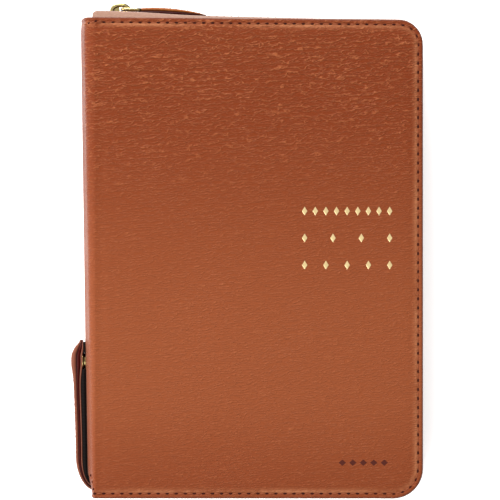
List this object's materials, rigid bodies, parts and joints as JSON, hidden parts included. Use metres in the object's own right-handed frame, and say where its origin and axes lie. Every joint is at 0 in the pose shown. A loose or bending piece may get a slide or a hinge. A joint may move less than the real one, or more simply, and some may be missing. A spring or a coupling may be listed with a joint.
{
  "type": "zip-around bible",
  "caption": "Closed zip-around bible in pebbled brown leather with gold slider, leather pull and a snapped zip-tail strap; the cover, first leaves, slider, pull and strap move.",
  "frame": {"origin": "centre of the back cover's outer face, on which the closed book rests", "axes": "+X from the spine to the fore-edge, +Y from the tail to the head of the pages, +Z out of the front cover"},
  "size_m": [0.1641, 0.23, 0.036],
  "materials": {
    "cover_leather": "cognac-brown pebbled leather with a soft satin surface",
    "lining_leather": "smooth tan lining leather",
    "board": "flexible grey board",
    "endpaper": "plain cream endpaper",
    "page_paper": "thin opaque paper with gilt edges",
    "zip_tape": "woven red-brown zip tape",
    "zip_coil": "brown nylon coil",
    "gold_metal": "polished pale gold plating",
    "ribbon_red": "woven satin ribbon",
    "ribbon_gold": "woven satin ribbon",
    "mull_cloth": "open-weave mull glued on the spine",
    "band_silk": "striped silk band"
  },
  "bodies": {
    "book": {"back_leather": "cover_leather", "back_board": "board", "back_lining": "lining_leather", "back_pastedown": "endpaper", "back_flyleaf": "endpaper", "back_gusset": "cover_leather", "back_zip_tape": "zip_tape", "back_zip_coil": "zip_coil", "gathering_03": "page_paper", "gathering_04": "page_paper", "gathering_05": "page_paper", "gathering_06": "page_paper", "gathering_07": "page_paper", "gathering_08": "page_paper", "gathering_09": "page_paper", "gathering_10": "page_paper", "gathering_11": "page_paper", "gathering_12": "page_paper", "spine_leather": "cover_leather", "spine_stiffener": "board", "ribbon_marker_red": "ribbon_red", "ribbon_marker_gold": "ribbon_gold", "spine_mull": "mull_cloth", "head_band": "band_silk", "tail_band": "band_silk", "zip_top_stop": "gold_metal", "zip_tape_end": "zip_tape", "snap_stud": "gold_metal"},
    "front_cover": {"front_leather": "cover_leather", "front_board": "board", "front_lining": "lining_leather", "front_pastedown": "endpaper", "front_gusset": "cover_leather", "front_zip_tape": "zip_tape", "front_zip_coil": "zip_coil"},
    "endleaf": {"front_flyleaf": "endpaper"},
    "first_gathering": {"gathering_01": "page_paper"},
    "second_gathering": {"gathering_02": "page_paper"},
    "zip_slider": {"slider_body": "gold_metal", "slider_crown": "gold_metal"},
    "zip_pull": {"pull_ring": "gold_metal", "pull_leather": "cover_leather"},
    "tail_strap": {"strap_outer_leather": "cover_leather", "strap_inner_leather": "cover_leather", "strap_zip_end": "zip_tape", "snap_cap": "cover_leather", "snap_socket": "gold_metal"}
  },
  "joints": [
    {"name": "cover_hinge", "type": "hinge", "parent": "book", "child": "front_cover", "pos_m": [-0.073, 0, 0.0362], "axis": [0, -1, 0], "range_deg": [0, 180]},
    {"name": "endleaf_turn", "type": "hinge", "parent": "book", "child": "endleaf", "pos_m": [-0.073, 0, 0.0362], "axis": [0, -1, 0], "range_deg": [0, 170]},
    {"name": "first_gathering_turn", "type": "hinge", "parent": "book", "child": "first_gathering", "pos_m": [-0.073, 0, 0.0362], "axis": [0, -1, 0], "range_deg": [0, 158]},
    {"name": "second_gathering_turn", "type": "hinge", "parent": "book", "child": "second_gathering", "pos_m": [-0.073, 0, 0.0362], "axis": [0, -1, 0], "range_deg": [0, 146]},
    {"name": "slider_travel", "type": "slide", "parent": "book", "child": "zip_slider", "axis": [0.9997, -0.0255, 0], "range_m": [0, 0.115]},
    {"name": "pull_swing", "type": "hinge", "parent": "zip_slider", "child": "zip_pull", "pos_m": [-0.06091, 0.11664, 0.018], "axis": [0, 0, 1], "range_deg": [0, 170]},
    {"name": "strap_turn", "type": "hinge", "parent": "book", "child": "tail_strap", "pos_m": [-0.07965, -0.10585, 0.018], "axis": [0, 0, 1], "range_deg": [0, 90]}
  ],
  "couplings": [
    {"joint": "endleaf_turn", "follows": "cover_hinge", "ratio": 0.94},
    {"joint": "first_gathering_turn", "follows": "cover_hinge", "ratio": 0.87},
    {"joint": "second_gathering_turn", "follows": "cover_hinge", "ratio": 0.8}
  ]
}
